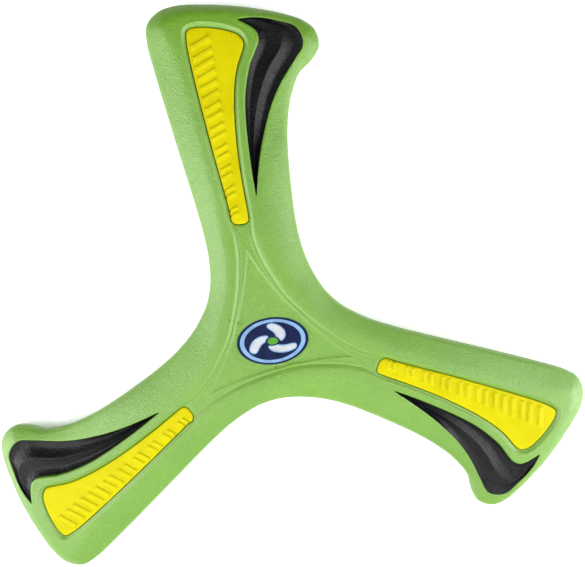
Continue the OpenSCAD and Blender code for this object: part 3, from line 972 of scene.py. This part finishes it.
def make_emblem():
    arms = [swirl_arm(k * BLADE_ANGLE) for k in range(BLADES)]
    shades = [swirl_arm(k * BLADE_ANGLE, 0.55) for k in range(BLADES)]
    points = Points()
    for loop in [oval(share) for share in (1.0, BORDER, BAND, RING, DOT)] + arms + shades:
        points.loop(loop, np.zeros(len(loop)))
    edge = oval(1.0)
    fill = hex_grid(-EMBLEM_SIZE, EMBLEM_SIZE, 1.2)
    points.scatter(fill[np.linalg.norm(fill / EMBLEM_SIZE, axis=1) < 0.96], 0.35)
    xy, _, faces = points.triangles(edge)
    index = emblem_colours(xy[faces].mean(1), arms, shades)
    rim = np.flatnonzero(np.linalg.norm(xy / EMBLEM_SIZE, axis=1) > 1 - 1e-4)
    rim = rim[np.argsort(np.arctan2(xy[rim, 1], xy[rim, 0]))]
    place = turned(xy, EMBLEM_TILT) + EMBLEM_CENTRE
    top = np.column_stack([place, np.full(len(xy), TRIANGLE_Z + 0.22)])
    top[:, 2] += waviness(top, 0.05, 7)
    n, first = len(rim), len(top)
    low = np.column_stack([place[rim], np.full(n, TRIANGLE_Z - 0.15)])
    a, b = np.arange(n), np.roll(np.arange(n), -1)
    side = [np.column_stack([rim[a], first + a, first + b]), np.column_stack([rim[a], first + b, rim[b]])]
    under = np.column_stack([np.full(n, first + n), first + b, first + a])
    verts = np.vstack([top, low, [(*EMBLEM_CENTRE, TRIANGLE_Z - 0.15)]])
    index = np.r_[index, np.zeros(3 * n, int)]
    materials = [
        print_material("print_dark", (0.004, 0.008, 0.034), (0.006, 0.013, 0.058)),
        print_material("print_pale_blue", (0.15, 0.27, 0.46), (0.20, 0.34, 0.55)),
        print_material("print_white", (0.40, 0.42, 0.44), (0.47, 0.49, 0.51)),
        print_material("print_green", (0.05, 0.20, 0.02), (0.08, 0.27, 0.03))]
    emblem = mesh_object("hub_emblem_film", verts, np.vstack([faces, *side, under]), materials, index)
    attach(emblem, "root")
    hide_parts("hub_emblem")


# ---------------------------------------------------------------- studio
CAMERA_AT = (0.00865, 0.0561, 0.284)
CAMERA_TURN = (math.radians(-6.84), math.radians(-0.35), 0)
CAMERA_LENS = 36.92


def make_camera():
    data = bpy.data.cameras.new("camera")
    data.lens = CAMERA_LENS
    data.sensor_width = 36
    camera = bpy.data.objects.new("camera", data)
    camera.location = CAMERA_AT
    camera.rotation_euler = CAMERA_TURN
    bpy.context.scene.collection.objects.link(camera)
    bpy.context.scene.camera = camera


# The softboxes: direction round the boomerang and height above the floor, in degrees, and power
LIGHT_DISTANCE = 0.7
LIGHT_SIZE = (0.6, 0.32)
SOFTBOXES = {
    "left_low": (193, 20, 4.8), "left_high": (206, 53, 3.5), "right_low": (352, 20, 4.2),
    "right_high": (358, 44, 3.6), "front": (278, 38, 1.7)}


def make_light(name, azimuth, elevation, power):
    data = bpy.data.lights.new(name, "AREA")
    data.shape = "RECTANGLE"
    data.size, data.size_y = LIGHT_SIZE
    data.energy = power
    light = bpy.data.objects.new(name, data)
    a, e = math.radians(azimuth), math.radians(elevation)
    away = Vector((math.cos(e) * math.cos(a), math.cos(e) * math.sin(a), math.sin(e)))
    light.location = away * LIGHT_DISTANCE
    light.rotation_mode = "QUATERNION"
    light.rotation_quaternion = (-away).to_track_quat("-Z", "Y")
    light.visible_camera = False
    bpy.context.scene.collection.objects.link(light)


def make_studio():
    for name, (azimuth, elevation, power) in SOFTBOXES.items():
        make_light(name, azimuth, elevation, power)
    world = bpy.data.worlds.new("studio")
    world.use_nodes = True
    world.node_tree.nodes["Background"].inputs["Color"].default_value = (0.9, 0.95, 1.0, 1)
    world.node_tree.nodes["Background"].inputs["Strength"].default_value = 0.03
    bpy.context.scene.world = world
    bpy.context.scene.view_settings.view_transform = "Standard"
    side = 6.0
    corners = [(-side, -side, 0), (side, -side, 0), (side, side, 0), (-side, side, 0)]
    mesh = bpy.data.meshes.new("floor")
    mesh.from_pydata([(x, y, -0.00005) for x, y, _ in corners], [], [(0, 1, 2, 3)])
    mesh.materials.append(floor_material())
    floor = bpy.data.objects.new("floor", mesh)
    bpy.context.scene.collection.objects.link(floor)


def make_backdrop():
    """A round pale wall behind everything. It gives no light of its own to the boomerang."""
    radius, height, sides = 5.5, 6.0, 64
    angles = [2 * math.pi * i / sides for i in range(sides)]
    verts = [(radius * math.cos(a), radius * math.sin(a), z) for z in (-0.01, height) for a in angles]
    faces = [(i, i + sides, (i + 1) % sides + sides, (i + 1) % sides) for i in range(sides)]
    mesh = bpy.data.meshes.new("backdrop")
    mesh.from_pydata(verts, [], faces)
    mesh.materials.append(backdrop_material())
    backdrop = bpy.data.objects.new("backdrop", mesh)
    for ray in ("diffuse", "glossy", "transmission", "shadow"):
        setattr(backdrop, f"visible_{ray}", False)
    bpy.context.scene.collection.objects.link(backdrop)


make_camera()
make_studio()
make_backdrop()
make_body()
make_plates()
make_scoops()
make_emblem()
